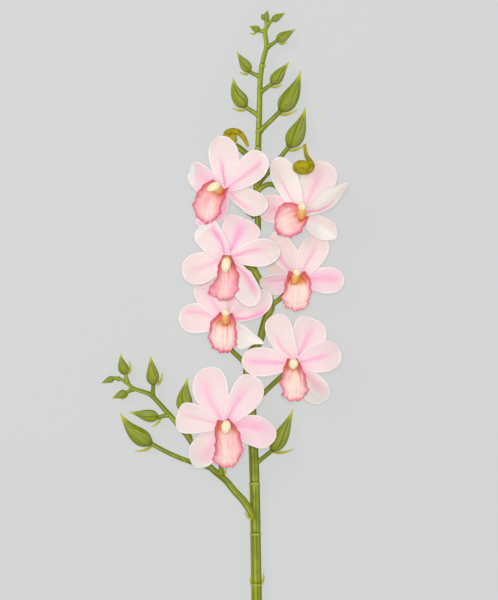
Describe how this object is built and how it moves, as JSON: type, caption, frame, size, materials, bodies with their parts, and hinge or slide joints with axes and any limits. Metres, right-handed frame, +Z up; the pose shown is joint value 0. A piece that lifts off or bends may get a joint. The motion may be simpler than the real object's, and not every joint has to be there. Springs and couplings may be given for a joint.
{
  "type": "cymbidium orchid stem",
  "caption": "Cut cymbidium orchid spray lying on its back: a green stem with a side branch, closed buds, and open pale pink blooms with frilled, deeper pink lips",
  "frame": {"origin": "the middle of the spray's outline seen from above, on the surface it lies on", "axes": "+Y runs along the stem to its tip, +X is the right of a viewer who looks down on the blooms, and +Z is up, out of the blooms' faces"},
  "size_m": [0.1978, 0.5553, 0.0574],
  "materials": {
    "stem_green": "smooth green plant skin with a soft waxy sheen",
    "tepal_pink": "pale pink petal with faint veins, white rims and a pink streak along its middle",
    "lip_pink": "peach pink petal with crimson frilled edges and tan streaks in its throat",
    "column_cream": "smooth cream with an orange underside",
    "curl_olive": "matt olive yellow plant skin"
  },
  "bodies": {
    "root": {"stem": "stem_green", "side_branch": "stem_green", "bloom_1_tepals": "tepal_pink", "bloom_1_lip": "lip_pink", "bloom_1_column": "column_cream", "bloom_2_tepals": "tepal_pink", "bloom_2_lip": "lip_pink", "bloom_2_column": "column_cream", "bloom_3_tepals": "tepal_pink", "bloom_3_lip": "lip_pink", "bloom_3_column": "column_cream", "bloom_4_tepals": "tepal_pink", "bloom_4_lip": "lip_pink", "bloom_4_column": "column_cream", "bloom_5_tepals": "tepal_pink", "bloom_5_lip": "lip_pink", "bloom_5_column": "column_cream", "bloom_6_tepals": "tepal_pink", "bloom_6_lip": "lip_pink", "bloom_6_column": "column_cream", "bloom_7_tepals": "tepal_pink", "bloom_7_lip": "lip_pink", "bloom_7_column": "column_cream", "curled_bud_left": "curl_olive", "curled_bud_right": "curl_olive"}
  },
  "joints": []
}
